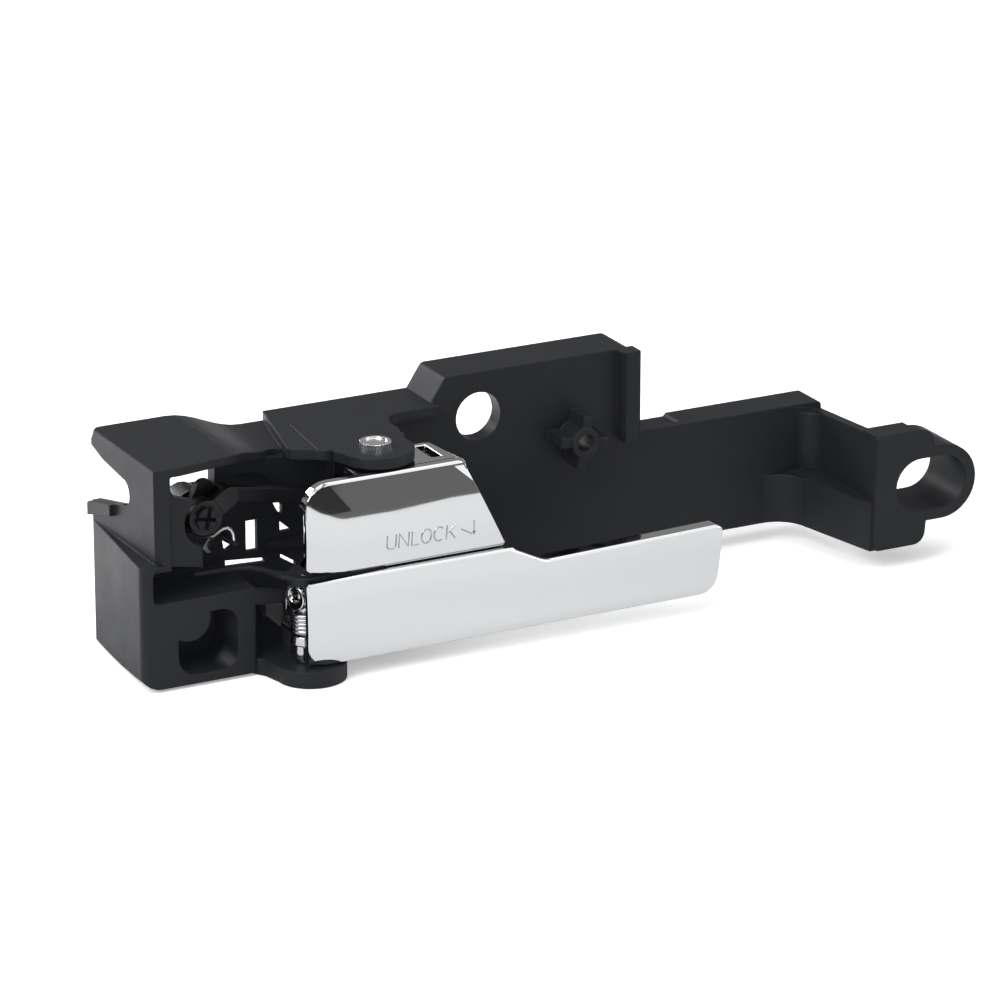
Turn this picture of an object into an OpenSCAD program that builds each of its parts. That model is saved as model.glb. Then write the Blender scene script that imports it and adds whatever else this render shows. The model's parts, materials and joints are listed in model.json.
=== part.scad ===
// Interior door handle of a car: a black moulded housing that carries a chrome
// release lever, a chrome lock lever above it and the lock crank with its link.
// X runs along the handle, -Y faces the passenger and Z is up.
// The origin is the centre of the round hole in the back plate.

/* [Block] */
// Width of the block at the left end
block_w = 31; // [29:0.5:34]
// Depth of the block and of all the flanges
block_d = 44.5; // [42:0.5:50]
// Height of the block
block_h = 67; // [65:0.5:70]
// Height of the ledge between the lower box and the upper shell
ledge_z = 38.6; // [37.5:0.1:39.5]
// How far the lower box stands out to the left at its front
box_proud = 5.4; // [3:0.2:7]
// How far the lower box stands out in front of the upper shell
box_front = 2; // [1:0.2:3]
// General wall of the moulding
wall = 2.6; // [2:0.1:3]

/* [Block openings] */
// Width of the corner post beside the crank bay
post_w = 5.2; // [4:0.2:6]
// Height of the wide window over the screw pocket
window_h = 11.6; // [9:0.2:12]
// Width of the screw pocket
pocket_w = 19; // [16:0.5:21]
// Height of the screw pocket
pocket_h = 18.8; // [16:0.2:20]
// Depth of the screw pocket
pocket_d = 17; // [10:0.5:22]
// Radius of the round boss in the pocket's corner
pocket_boss_r = 6.6; // [5:0.2:7]
// Diameter of the screw hole in the pocket's floor
pocket_hole_d = 6.5; // [5:0.1:7]
// Height of the mouth of the cable notch
notch_h = 8; // [6:0.2:9]

/* [Deck and ears] */
// Height of the deck's upper face
deck_z = 63.6; // [62.8:0.1:64.5]
// Thickness of the deck
deck_t = 3.2; // [2.6:0.1:3.4]
// Radius of the deck's ear round the lock pin
ear_r = 11.2; // [10:0.2:12]
// Underside of the middle shelf
shelf_z = 29.4; // [29:0.1:30]
// Thickness of the middle shelf
shelf_t = 2.6; // [2:0.1:2.8]
// Thickness of the foot ear round the release pin
foot_t = 5; // [4.4:0.1:5]
// Radius of the foot ear
foot_r = 10.5; // [9.5:0.1:11.5]

/* [Back plate] */
// Front face of the back plate
plate_y = 28; // [27:0.2:29]
// Thickness of the back plate
plate_t = 2.8; // [2.4:0.1:3.2]
// Height of the back plate's top edge
plate_top = 71; // [69:0.5:73]
// Height of the back plate's bottom edge
plate_bottom = 6.5; // [5.8:0.1:8]
// Right end of the back plate
plate_x = 172; // [168:0.5:175]
// How far the end wall stands forward of the plate
end_lip = 4.5; // [2:0.5:6]
// Diameter of the round hole
hole_d = 15; // [12:0.5:16]
// Diameter of the collar behind the round hole
collar_d = 20; // [18:0.5:22]
// Length of the cross-ribbed boss
boss_l = 9; // [6:0.5:11]
// Width over the ribs of the boss
boss_w = 16.5; // [14:0.5:18]
// Diameter of the screw hole in the boss
boss_hole_d = 5.4; // [4:0.1:6]

/* [Strip, leg and tab] */
// Height of the strip's top edge
strip_top = 43.5; // [42:0.5:45]
// Depth of the strip's flange
strip_flange = 12; // [9:0.5:14]
// Right-hand face of the leg
leg_x = 238.5; // [236:0.5:241]
// Front face of the tab
tab_y = -10.5; // [-12:0.5:-8]
// Length of the slot in the tab
slot_l = 24.8; // [22:0.2:26]
// Height of the slot in the tab
slot_h = 17; // [15:0.2:18]
// Wall of the collar round the slot
slot_wall = 3.4; // [3:0.1:4]
// Depth of the collar
slot_d = 21; // [16:0.5:24]

/* [Levers] */
// Front face of the lock lever
lock_y = -15; // [-15.8:0.1:-14.6]
// Front face of the release lever
release_y = -18; // [-19:0.1:-17.6]
// Wall of both chrome shells
shell = 2.2; // [1.8:0.1:2.4]
// Depth of the lock lever's rim
lock_rim = 5; // [4:0.2:6]
// Depth of the release lever's rim
release_rim = 5.6; // [4.6:0.2:6.4]
// Right tip of the release lever
tip_x = 178; // [172:0.5:184]
// Angle of the release lever when it is pulled out
pull = 30; // [20:1:34]
// Angle of the lock lever when it is rocked
rock = 12; // [8:1:14]

/* [Pins and springs] */
// Diameter of both hinge pins
pin_d = 5; // [4:0.1:5.4]
// Running clearance of the levers on their pins, per side
pin_clear = 0.06; // [0.03:0.01:0.1]
// Diameter of the lock pin's serrated head
head_d = 9.4; // [8.6:0.2:10.4]
// Wire of the release spring
spring_wire = 1.5; // [1.2:0.1:1.7]
// Mean radius of the release spring's coil
spring_r = 4.1; // [3.9:0.1:4.3]
// Wire of the crank spring
crank_wire = 1; // [0.8:0.1:1.2]

/* [Lock crank] */
// Radius of the crank's front disc
crank_r = 5.3; // [5:0.1:5.6]
// Diameter of the split stud that carries the crank
stud_d = 6; // [5:0.1:6.4]
// Radius of the crank's arm to the link
crank_arm = 9.5; // [8.8:0.1:9.8]
// Thickness of the crank's arms
arm_t = 2.8; // [2.4:0.1:3]
// Radius of the lock lever's arm to the link
lock_arm = 12; // [11:0.2:12.4]
// Play of the link round the lever's post
link_play = 0.5; // [0.4:0.05:0.7]

/* [Hidden] */
$fn = 48;
eps = 0.01;

// Places, measured from the block's lower left front corner
hole_at = [119, plate_y, 57];
lock_at = [70.8, 0];
release_at = [43.5, -9];
crank_at = [19.5, 47.5];
boss_at = [151, 46];
slot_at = [255.3, 25.6];
pocket_at = [6, 3.6];
box_floor = 0.8;
box_depth_gap = 12;

// Levels that follow from the sizes above
deck_under = deck_z - deck_t;
shelf_top = shelf_z + shelf_t;
lock_top = deck_under - 0.5;
lock_bottom = shelf_top + 0.6;
release_top = shelf_top - 0.6;
release_bottom = foot_t + 0.6;
pin_r = pin_d / 2;
pin_head_r = pin_r + 1.5;
pin_head_z = 1.6;
crank_y = 7;
crank_back = 26;
crank_pin_at = crank_at + crank_arm * [cos(32.5), sin(32.5)];
link_y = crank_y + 0.3 + arm_t + 0.3;
link_t = 3;
link_z = 44.6;
link_eye_h = 3.8;
post_r = 1.5;
post_at = lock_at + lock_arm * [sin(rock / 2), cos(rock / 2)];
seat_gap = 0.3;
coil_z = 13.9;
coil_h = 6.6;
knuckle_r = 5.2;
bay_y = 20;
bay_t = 2;
bay_x = 27;
bay_left = 15.8;
bay_right = 64;

// Points of an arc between two angles
function arc(c, r, from, to, n = 8) =
    [for (i = [0:n]) c + r * [cos(from + (to - from) * i / n), sin(from + (to - from) * i / n)]];
function flat(p) = [p[0], p[1]];
function unit(v) = v / norm(v);
function left(v) = [-v[1], v[0]];

// An outline is a list of corners [x, y, radius], counter-clockwise
function before(p, i) = flat(p[(i + len(p) - 1) % len(p)]);
function after(p, i) = flat(p[(i + 1) % len(p)]);

// The same outline moved inwards by a wall
function inset(p, t) =
    [for (i = [0:len(p) - 1])
        let (b = flat(p[i]), d1 = unit(b - before(p, i)), d2 = unit(after(p, i) - b))
        let (n1 = left(d1), n2 = left(d2), m = (n1 + n2) * t / (1 + n1 * n2))
        [b[0] + m[0], b[1] + m[1], max(p[i][2] + (cross(d1, d2) > 0 ? -t : t), 0)]];

// The points of an outline with every corner rounded
function rounded(p, n = 6) =
    [for (i = [0:len(p) - 1])
        let (b = flat(p[i]), d1 = unit(b - before(p, i)), d2 = unit(after(p, i) - b))
        let (turn = acos(max(-1, min(1, d1 * d2))), s = cross(d1, d2) > 0 ? 1 : -1, r = p[i][2])
        let (start = b - d1 * r * tan(turn / 2), c = start + s * r * left(d1))
        each (r > 0 && turn > 1
            ? [for (k = [0:n]) let (a = s * turn * k / n, v = start - c)
                c + [v[0] * cos(a) - v[1] * sin(a), v[0] * sin(a) + v[1] * cos(a)]]
            : [b])];

// Extrusions of a flat outline along Y, Z and X
module slab_y(from, to) {
    translate([0, to, 0])
        rotate([90, 0, 0])
            linear_extrude(to - from)
                children();
}

module slab_z(from, to) {
    translate([0, 0, from])
        linear_extrude(to - from)
            children();
}

module slab_x(from, to) {
    translate([from, 0, 0])
        rotate([90, 0, 90])
            linear_extrude(to - from)
                children();
}

// A round bar along Y or Z
module bar_y(at, r, from, to) {
    translate([at[0], to, at[1]])
        rotate([90, 0, 0])
            cylinder(r = r, h = to - from);
}

module bar_z(at, r, from, to) {
    translate([at[0], at[1], from])
        cylinder(r = r, h = to - from);
}

// A wire swept along a path, with flat ends
module wire(path, r, sides = 8) {
    n = len(path);
    rings = [for (i = [0:n - 1])
        let (t = unit(path[min(i + 1, n - 1)] - path[max(i - 1, 0)]))
        let (u = unit(cross(t, [0, 0, 1])), v = cross(u, t))
        for (k = [0:sides - 1])
            path[i] + r * (u * cos(360 * k / sides) + v * sin(360 * k / sides))];
    faces = concat(
        [[for (k = [0:sides - 1]) k]],
        [for (i = [0:n - 2]) for (k = [0:sides - 1])
            let (a = i * sides + k, b = i * sides + (k + 1) % sides)
            [b, a, a + sides, b + sides]],
        [[for (k = [sides - 1:-1:0]) (n - 1) * sides + k]]);
    polyhedron(rings, faces, convexity = 6);
}

// The top face falls from the block's height to the step beside the deck
fall_from = 24;
fall_to = 48;
fall = 6.3;
function fall_at(x) =
    x < fall_from ? 0 : x > fall_to ? fall : fall * (1 - cos(180 * (x - fall_from) / (fall_to - fall_from))) / 2;
top_profile = concat(
    [for (x = [0:3:57]) [x, block_h - fall_at(x)]],
    [for (x = [57:-3:0]) [x, block_h - wall - fall_at(x)]]);

// Plan of the top face with its front edge drawn back beside the deck
top_plan = [[0, 0, 0], [post_w + 3, 0, 6], [27, 3.2, 8], [46, 19.6, 4], [57, 17, 0],
    [57, block_d, 0], [0, block_d, 3]];

// Plan of the lower box, which widens towards its front
box_plan = [[-box_proud, -box_front, 2.4], [block_w, -box_front, 0.8], [block_w, block_d, 0], [0, block_d, 0]];
box_face = [[-box_proud - 1, box_floor, 7], [block_w, box_floor, 0], [block_w, ledge_z, 0],
    [-box_proud - 1, ledge_z, 0]];

module box_solid(t) {
    intersection() {
        slab_z(box_floor - 1, ledge_z + 1)
            polygon(rounded(inset(box_plan, t)));
        slab_y(-box_front - 1, block_d + 1)
            polygon(rounded(inset(box_face, t)));
    }
}

// The lower box: open at the back, with the pocket and the wide window in front
module lower_box() {
    pocket_floor = -box_front + pocket_d;
    pocket = [[pocket_at[0], pocket_at[1], 6], [pocket_at[0] + pocket_w, pocket_at[1], 5],
        [pocket_at[0] + pocket_w, pocket_at[1] + pocket_h, 5], [pocket_at[0], pocket_at[1] + pocket_h, 2]];
    pocket_boss = [pocket_at[0] + 3.8, pocket_at[1] + pocket_h - 1.6];
    window_z = ledge_z - window_h;
    difference() {
        union() {
            difference() {
                box_solid(0);
                difference() {
                    translate([0, wall, 0])
                        box_solid(wall);
                    translate([-20, 0, window_z - wall])
                        cube([60, block_d - box_depth_gap, wall]);
                }
                translate([wall, block_d - 2 * wall, box_floor + wall])
                    cube([block_w - 2 * wall, 3 * wall, ledge_z - box_floor - 2 * wall]);
            }
            // Walls and floor of the pocket
            slab_y(-box_front + wall / 2, pocket_floor + wall)
                polygon(rounded(inset(pocket, -wall)));
        }
        difference() {
            slab_y(-box_front - 1, pocket_floor)
                polygon(rounded(pocket));
            bar_y(pocket_boss, pocket_boss_r, -box_front, pocket_floor);
        }
        bar_y([pocket_at[0] + pocket_w * 0.62, pocket_at[1] + pocket_h * 0.42], pocket_hole_d / 2,
            pocket_floor - 1, pocket_floor + wall + 1);
        // The wide window under the ledge, open to the crank bay on the right
        slab_y(-box_front - 1, wall * 2)
            polygon(rounded([[-1.6, window_z, 1.8], [block_w + 1, window_z, 0], [block_w + 1, ledge_z + 1, 0],
                [post_w, ledge_z + 1, 0], [post_w, ledge_z, 0], [-1.6, ledge_z, 3.6]]));
        translate([block_w - wall - 1, -box_front - 1, window_z])
            cube([wall + 2, box_front + 1 + bay_y + bay_t, window_h + 1]);
        // The way down from the crank bay
        translate([bay_left, -box_front - 1, ledge_z - wall - 1])
            cube([block_w, box_front + 1 + bay_y, wall + 2]);
    }
    window_bar();
}

// Bar under the window, between the block and the release lever
module window_bar() {
    slab_y(-box_front, 0.6)
        polygon([[block_w - 1, 21.9], [40.4, 20.9], [40.4, 24.4], [36, 25.4], [block_w - 1, 26.6]]);
}

// The upper shell: left end wall with the cable notch, corner post and top wall
module upper_shell() {
    notch_z = 54.2;
    notch_y = 21.4;
    difference() {
        slab_x(0, wall)
            square([block_d, block_h]);
        slab_x(-1, wall + 1)
            square([block_d + 1, ledge_z - wall]);
        slab_x(-1, wall + 1)
            polygon([[block_d - 2.6, block_h + 1], [block_d - 0.4, block_h - 3], [block_d + 1, block_h - 3],
                [block_d + 1, block_h + 1]]);
        slab_x(-1, wall + 1) {
            translate([notch_y, notch_z])
                circle(notch_h / 2);
            polygon([[notch_y - 1, notch_z - notch_h / 2 + 0.2], [block_d + 1, notch_z - notch_h * 1.2],
                [block_d + 1, notch_z + notch_h], [block_d - 8, notch_z + notch_h * 0.7],
                [notch_y, notch_z + notch_h / 2]]);
        }
    }
    // Lip outside the notch
    slab_x(-1.8, 1)
        polygon([[28, 48.4], [28, 45], [block_d, 40.5], [block_d, 44.2], [block_d - 1.6, 45.2]]);
    // Seat of the cable under the notch
    difference() {
        slab_x(0, 9)
            polygon([[notch_y - 4.2, notch_z + 4], [notch_y - 4.2 - wall, notch_z + 4],
                [notch_y - 4.2 - wall, notch_z - 7.5], [block_d, notch_z - 15], [block_d, notch_z - 12.4],
                [notch_y + 1, notch_z - 4.2]]);
        slab_x(-1, 12)
            translate([notch_y, notch_z])
                circle(notch_h / 2);
    }
    slab_y(0, wall)
        polygon([[0, ledge_z - wall], [post_w, ledge_z - wall], [post_w, block_h], [0, block_h]]);
    // Wall beside the crank, hollowed round its disc
    difference() {
        union() {
            slab_y(1.5, 4)
                polygon([[wall - 1, 37.4], [5, 36.9], [11, 35.8], [bay_left, 34.8], [bay_left, 55.2],
                    [11.9, 56.1], [7.2, 57.8], [5.6, 60.2], [5, 62.6], [7.4, 65], [wall - 1, 65]]);
            slab_y(4 - eps, 16.4)
                polygon([[wall - 1, ledge_z - 1], [bay_left, ledge_z - 1], [bay_left, 50], [wall - 1, 50]]);
        }
        bar_y(crank_at + [-1.5, 1.1], crank_r + 2.5, 0, 18);
    }
    intersection() {
        slab_y(0, block_d)
            polygon(top_profile);
        slab_z(0, block_h + 1)
            polygon(rounded(top_plan));
    }
}

// The deck with the ear that holds the lock pin
deck_plan = [[47.1, 9.5, 2], [54, 5.4, 3], [59, 0.8, 4], [62.5, 6, 0], [84, 6, 6], [84.5, plate_y - 3.4, 8],
    [104, plate_y - 3.4, 0], [104, block_d, 0], [55.4, block_d, 0]];

module deck() {
    slab_z(deck_under, deck_z) {
        polygon(rounded(deck_plan));
        translate([lock_at[0], lock_at[1] - 0.6])
            circle(ear_r);
        polygon([[58, 2], [61, -5], [79, -5], [83.9, 8], [70, 12]]);
    }
    // Rear rim of the deck
    slab_z(deck_under - 4, deck_under + eps)
        translate([56, block_d - wall])
            square([46, wall]);
}

// Fine groove across the deck
module deck_groove() {
    slab_z(deck_z - 0.4, deck_z + 1)
        polygon([[54, 5], [54.6, 5], [57.5, 30.9], [56.9, 30.9]]);
}

// Wall behind the crank and the release spring, with the gaps round its moulded fingers
bay_gaps = [
    [[38, 29.9], [41.8, 29.9], [41.8, 39.5], [38, 39.5]],
    [[26.6, 37], [24, 33.4], [26.4, 30.6], [27.6, 31], [25.9, 33.2], [27.9, 35.9]],
    [[30.4, 34.7], [30.8, 32], [32, 31.4], [33.6, 32.4], [32.6, 33.2]],
    [[46.9, 43.7], [48.6, 40.4], [49.9, 39.9], [49.9, 42.7], [48.8, 43.5]],
    [[49, 37.6], [49, 34.8], [50, 34.2], [52.8, 34.3], [51.8, 35.2]],
    [[31.2, 26.1], [44.1, 25.6], [44.1, 26.6], [43, 27.3], [31.2, 28.3]],
    [[49.1, 27.4], [49.1, 26.2], [54.2, 22.9], [54.2, 24.1]]];
bay_arch = [[31.9, 46], [31.9, 52.3], [33.2, 54.9], [36.1, 55.6], [41.6, 54.4], [44.8, 52.4], [46, 49.7], [46, 46]];
module bay_wall() {
    difference() {
        slab_y(bay_y, bay_y + bay_t)
            polygon([[wall - 1, ledge_z - window_h - 1], [block_w - 1, ledge_z - window_h - 1], [block_w - 1, 1],
                [bay_right, 1], [bay_right, deck_under + 1], [50, 59], [42, 60], [36, 62], [30, 64.2],
                [bay_x, 65], [bay_x, ledge_z - 1], [wall - 1, ledge_z - 1]]);
        for (gap = bay_gaps)
            slab_y(bay_y - 1, bay_y + bay_t + 1)
                polygon(gap);
    }
    // Thicker part above the link, with an arched recess
    difference() {
        slab_y(bay_y - 3, bay_y + eps)
            polygon([[bay_x, 47.5], [bay_right - 1.5, 47.5], [bay_right - 1.5, deck_under + 1], [48, 58.6], [42, 59.6],
                [36, 61.8], [30, 64], [bay_x, 64.6]]);
        slab_y(bay_y - 4, bay_y)
            polygon(bay_arch);
    }
    // Peg for the crank spring's hook and post for the release lever's stop
    bar_y([28.6, ledge_z - 0.2], 0.7, crank_y - 1, bay_y + eps);
    slab_y(stop_y + stop_t, bay_y + eps)
        translate([stop_x + 0.7, 13.5])
            square([3.2, 5]);
    bar_y([stop_x + 2.3, 16.5], 1.1, stop_y + 1.5, stop_y + stop_t + 1);
}

// Back wall behind the levers, joined to the deck, the shelf and the foot
back_wall = [[62, 0, 0], [80, 0, 0], [88, plate_bottom, 4], [plate_x, plate_bottom, 3], [plate_x, plate_top, 3],
    [108, plate_top, 2], [102, deck_under, 0], [62, deck_under, 0]];
pan = [[88, plate_bottom, 3], [plate_x, plate_bottom, 3], [plate_x, plate_top, 3], [108, plate_top, 2],
    [101, deck_under, 2], [88, deck_under, 0]];

module back_plate() {
    difference() {
        union() {
            slab_y(plate_y, plate_y + plate_t)
                polygon(rounded(back_wall));
            // Flange that runs round the plate to the rear
            difference() {
                slab_y(plate_y, block_d)
                    polygon(rounded(pan));
                slab_y(plate_y - 1, block_d + 1)
                    polygon(rounded(inset(pan, wall)));
                slab_y(plate_y - 1, block_d + 1)
                    translate([86, 0])
                        square([10, deck_under]);
            }
            // End wall that stands forward, with a hollow fillet to the plate
            difference() {
                slab_z(strip_top - 1, plate_top)
                    translate([plate_x - 9, plate_y - end_lip])
                        square([9, end_lip + 1]);
                slab_z(strip_top - 2, plate_top + 1)
                    translate([plate_x - 9 - wall + 0.6, plate_y - 6.4])
                        circle(6.4);
                slab_z(strip_top - 2, plate_top + 1)
                    translate([plate_x - 9 - wall, plate_y - 7])
                        square([6, 7]);
            }
            bar_y([hole_at[0], hole_at[2]], collar_d / 2, plate_y, plate_y + plate_t + 3);
            cross_boss();
        }
        bar_y([hole_at[0], hole_at[2]], hole_d / 2, plate_y - 1, plate_y + plate_t + 4);
        bar_y(boss_at, boss_hole_d / 2, plate_y - boss_l - 1, plate_y + plate_t + 1);
    }
}

// Screw boss: a tube with four ribs
module cross_boss() {
    rib = 3.2;
    step = 0.6;
    bar_y(boss_at, boss_hole_d / 2 + 2, plate_y - boss_l, plate_y + 1);
    for (a = [8, 98])
        translate([boss_at[0], 0, boss_at[1]])
            rotate([0, a, 0])
                slab_y(plate_y - boss_l + step, plate_y + 1)
                    square([boss_w, rib], center = true);
}

// The long strip with its flange, and the raised step on it
strip_end = leg_x - 6;
module strip() {
    slab_y(plate_y, plate_y + plate_t)
        polygon([[plate_x - 6, plate_bottom], [leg_x, plate_bottom], [leg_x, strip_top - 2.5],
            [strip_end - 6, strip_top], [plate_x - 6, strip_top]]);
    difference() {
        slab_y(plate_y, plate_y + strip_flange)
            polygon([[plate_x - 1, plate_bottom], [leg_x, plate_bottom], [leg_x, strip_top - 2.5],
                [strip_end - 6, strip_top], [190, strip_top], [189, strip_top - 1], [plate_x - 1, strip_top - 1]]);
        slab_y(plate_y - 1, plate_y + strip_flange + 1)
            polygon([[plate_x - 2, plate_bottom + wall], [leg_x - wall, plate_bottom + wall],
                [leg_x - wall, strip_top - 2.5 - wall], [strip_end - 6, strip_top - wall],
                [plate_x - 2, strip_top - wall]]);
    }
}

// The leg reaches forward to the tab
leg_crease = 22;
module leg() {
    slab_x(leg_x - wall, leg_x)
        polygon([[plate_y + 1, plate_bottom], [plate_y + 1, strip_top - 2.5], [tab_y + 1, strip_top],
            [tab_y + 1, plate_bottom]]);
    // Gusset under the crease
    slab_z(plate_bottom, leg_crease)
        polygon([[leg_x - 12.5, plate_y + 1], [leg_x - 4.2, tab_y + 1], [leg_x - wall + eps, tab_y + 1],
            [leg_x - wall + eps, plate_y - 4], [leg_x - 7.5, plate_y + 1]]);
    // Hollow fillet between the strip and the leg
    difference() {
        slab_z(leg_crease - eps, strip_top - 3)
            translate([leg_x - wall - 6, plate_y - 6])
                square([6 + eps, 6 + eps]);
        slab_z(leg_crease - 1, strip_top)
            translate([leg_x - wall - 6, plate_y - 6])
                circle(6);
    }
}

module stadium(length, height) {
    square([length - height, height], center = true);
    for (s = [-1, 1])
        translate([s * (length - height) / 2, 0])
            circle(height / 2);
}

// The tab and the deep collar round its slot
tab_plate = [[leg_x - 3.6, plate_bottom, 2], [253, plate_bottom, 4], [256.5, strip_top, 5], [leg_x - wall, strip_top, 1]];
module tab() {
    difference() {
        union() {
            slab_y(tab_y, tab_y + wall)
                polygon(rounded(tab_plate));
            slab_y(tab_y, tab_y + slot_d)
                translate(slot_at)
                    stadium(slot_l + 2 * slot_wall, slot_h + 2 * slot_wall);
            // Ribs behind the tab's edges
            for (z = [plate_bottom, strip_top - wall])
                translate([leg_x - wall, tab_y + 1, z])
                    cube([14, 8, wall]);
        }
        slab_y(tab_y - 1, tab_y + slot_d + 1)
            translate(slot_at)
                stadium(slot_l, slot_h);
    }
}

// The shelf between the two levers
module middle_shelf() {
    // Thin lip that runs from the wall beside the crank to the ear
    slab_z(shelf_top - 1.2, shelf_top)
        polygon([[bay_left - 1, 5.4], [23, 4.7], [27.4, 4.4], [31.2, 2.9], [33.6, -0.3], [34.7, -3.2], [35.9, -7.6],
            [release_at[0] - 5, release_at[1] - 2.4], [release_at[0], release_at[1]], [38, -5], [36.4, -2.6],
            [34.8, 0.7], [32, 4.1], [27.8, 5.7], [23, 6], [bay_left - 1, 6.8]]);
    slab_z(shelf_z, shelf_top) {
        difference() {
            polygon([[release_at[0] - 2, -5], [release_at[0] + 4, release_at[1] - 2], [62, -3], [64, -6],
                [77, -6], [80, 4], [80, plate_y + 1], [62, plate_y + 1], [60, bay_y + 1], [44, bay_y + 1]]);
            // Open between the ear and the bay wall
            polygon([[release_at[0] - 3, -2], [50, -2], [58, 2], [58, bay_y - 1.5], [40, bay_y - 1.5]]);
        }
        translate(release_at)
            circle(5.6);
        translate(lock_at)
            circle(8);
    }
}

// The foot ear under the release lever
module foot_ear() {
    slab_z(0, foot_t) {
        polygon([[block_w - 4, 6], [block_w - 1, 0], [32.6, -4], [release_at[0] + 1 - foot_r, release_at[1] - 1],
            [release_at[0] + 1 + foot_r, release_at[1] - 1], [66, plate_y + 1], [62, plate_y + 1],
            [60, bay_y + bay_t], [block_w - 4, bay_y + bay_t]]);
        translate([release_at[0] + 1, release_at[1] - 1])
            circle(foot_r);
    }
    // Post that the release spring's leg pushes on
    slab_z(foot_t - eps, coil_z + spring_wire + 0.4)
        translate([release_at[0] - spring_r + spring_wire / 2 + seat_gap, release_at[1] + 5.4])
            square([2.2, 4.4]);
    // Rib that ties the foot to the back wall
    slab_z(foot_t - eps, shelf_z + eps)
        polygon([[62, plate_y + 1], [64.6, plate_y + 1], [64.6, 16], [62, 16]]);
}

// Ribs between the shelf and the deck behind the lock lever
module inner_ribs() {
    slab_z(shelf_top - eps, deck_under + eps) {
        translate([62, 14.8])
            square([wall, plate_y - 14]);
        translate([84 - wall, 14.8])
            square([wall, plate_y - 14]);
    }
    // Web that carries the crank's stud
    slab_y(crank_back + 0.6, crank_back + 3)
        polygon([[wall - 1, ledge_z - 1], [block_w, ledge_z - 1], [block_w, 44], [26, 51], [12, 51], [wall - 1, 42]]);
}

// Split stud with a snap head, which the crank is pushed on
module crank_stud() {
    difference() {
        union() {
            bar_y(crank_at, stud_d / 2, crank_y - 1.6, crank_back + 1);
            bar_y(crank_at, stud_d / 2 + 0.5, crank_y - 1.6, crank_y - 0.4);
        }
        for (a = [12, 102])
            translate([crank_at[0], 0, crank_at[1]])
                rotate([0, a, 0])
                    slab_y(crank_y - 2, crank_y + 8)
                        square([stud_d + 2, 1.2], center = true);
    }
}

module housing() {
    color("dimgray")
        difference() {
            union() {
                lower_box();
                upper_shell();
                deck();
                back_plate();
                strip();
                leg();
                tab();
                middle_shelf();
                bay_wall();
                foot_ear();
                inner_ribs();
                crank_stud();
            }
            bar_z(lock_at, pin_r + 0.02, shelf_z - 1, deck_z + 1);
            bar_z(release_at, pin_r + 0.02, -1, shelf_top + 1);
            bar_z(release_at, pin_head_r + 0.3, -1, pin_head_z);
            deck_groove();
        }
}

// A chrome shell: the outline, rounded over a large radius and open at the back
module lever_shell(outline, front, rim, mid, bulge) {
    difference() {
        intersection() {
            slab_y(front, front + rim + 1.6)
                polygon(rounded(outline));
            translate([0, front + bulge, mid])
                rotate([0, 90, 0])
                    cylinder(r = bulge, h = 400, $fn = 96);
            slab_y(front - 1, front + rim)
                polygon(rounded(outline));
        }
        intersection() {
            slab_y(front, front + rim + 1)
                polygon(rounded(inset(outline, shell)));
            translate([0, front + bulge, mid])
                rotate([0, 90, 0])
                    cylinder(r = bulge - shell, h = 400, $fn = 96);
        }
    }
}

// Eye of the release cable on the lever's rear arm
cable_at = [52, 10];
cable_eye_r = 3.4;

// Front view of the release lever, from its lower left corner
release_outline = [[40, release_bottom, 6.5], [tip_x - 2.4, release_bottom + 0.4, 6], [tip_x, 27.4, 2],
    [118, 26, 9], [107, release_top, 2], [40, release_top, 1.2]];

module release_lever() {
    color("silver")
        difference() {
            union() {
                difference() {
                    lever_shell(release_outline, release_y, release_rim, 17, 110);
                    // The left rim is cut away before the spring
                    translate([38, release_y + shell, release_bottom + 2.5])
                        cube([4.4, release_rim, 30]);
                }
                // Stepped lower knuckle and open upper knuckle, over and under the spring
                release_knuckle(release_bottom + 0.2, coil_z - 3.4, 3.8, 2.4);
                release_knuckle(coil_z - 3.4 - eps, coil_z - 0.5, 4.6, 2.4);
                release_knuckle(arm_z, arm_z + 3, 3.5, 0.6);
                release_knuckle(arm_z, shelf_z - 0.4, 0, 0.6);
                release_knuckle(shelf_z - 2.2, shelf_z - 0.4, 3.4, 0.6);
                release_ring();
                release_arm();
                // Ribs inside the arm
                for (x = [86:18:158])
                    intersection() {
                        slab_x(x, x + 1.6)
                            polygon([[release_y + 1, release_bottom + 1], [release_y + 4.4, release_bottom + 1],
                                [release_y + 4.4, 25], [release_y + 1, 25]]);
                        slab_y(release_y + 1, release_y + release_rim)
                            polygon(rounded(inset(release_outline, 0.4)));
                    }
            }
            bar_z(release_at, pin_r + pin_clear, 0, 40);
            bar_z(release_at, spring_r + spring_wire / 2 + seat_gap, coil_z - 0.5, coil_z + coil_h + 0.5);
            // Room for the shelf behind the face
            slab_z(shelf_z - 0.4, release_top + 1)
                translate([30, release_y + shell + 0.1])
                    square([37, 30]);
        }
}

// A knuckle on the pin and the web that joins it to the face
module release_knuckle(from, to, r, web) {
    slab_z(from, to) {
        if (r > 0)
            translate(release_at)
                circle(r);
        polygon([[release_at[0] - web, release_at[1]], [release_at[0] - web, release_y + shell - eps],
            [release_at[0] + 12, release_y + shell - eps], [release_at[0] + knuckle_r, release_at[1]]]);
    }
}

// Ring on the left of the upper knuckle, with its hole above its middle
module release_ring() {
    translate([release_at[0] - 3.4, release_at[1] - 0.8, shelf_z - 4.2])
        rotate([0, 90, 20])
            difference() {
                cylinder(r = 3.8, h = 1.8, center = true);
                translate([-0.7, 0, 0])
                    cylinder(r = 2.1, h = 3, center = true);
            }
}

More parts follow.
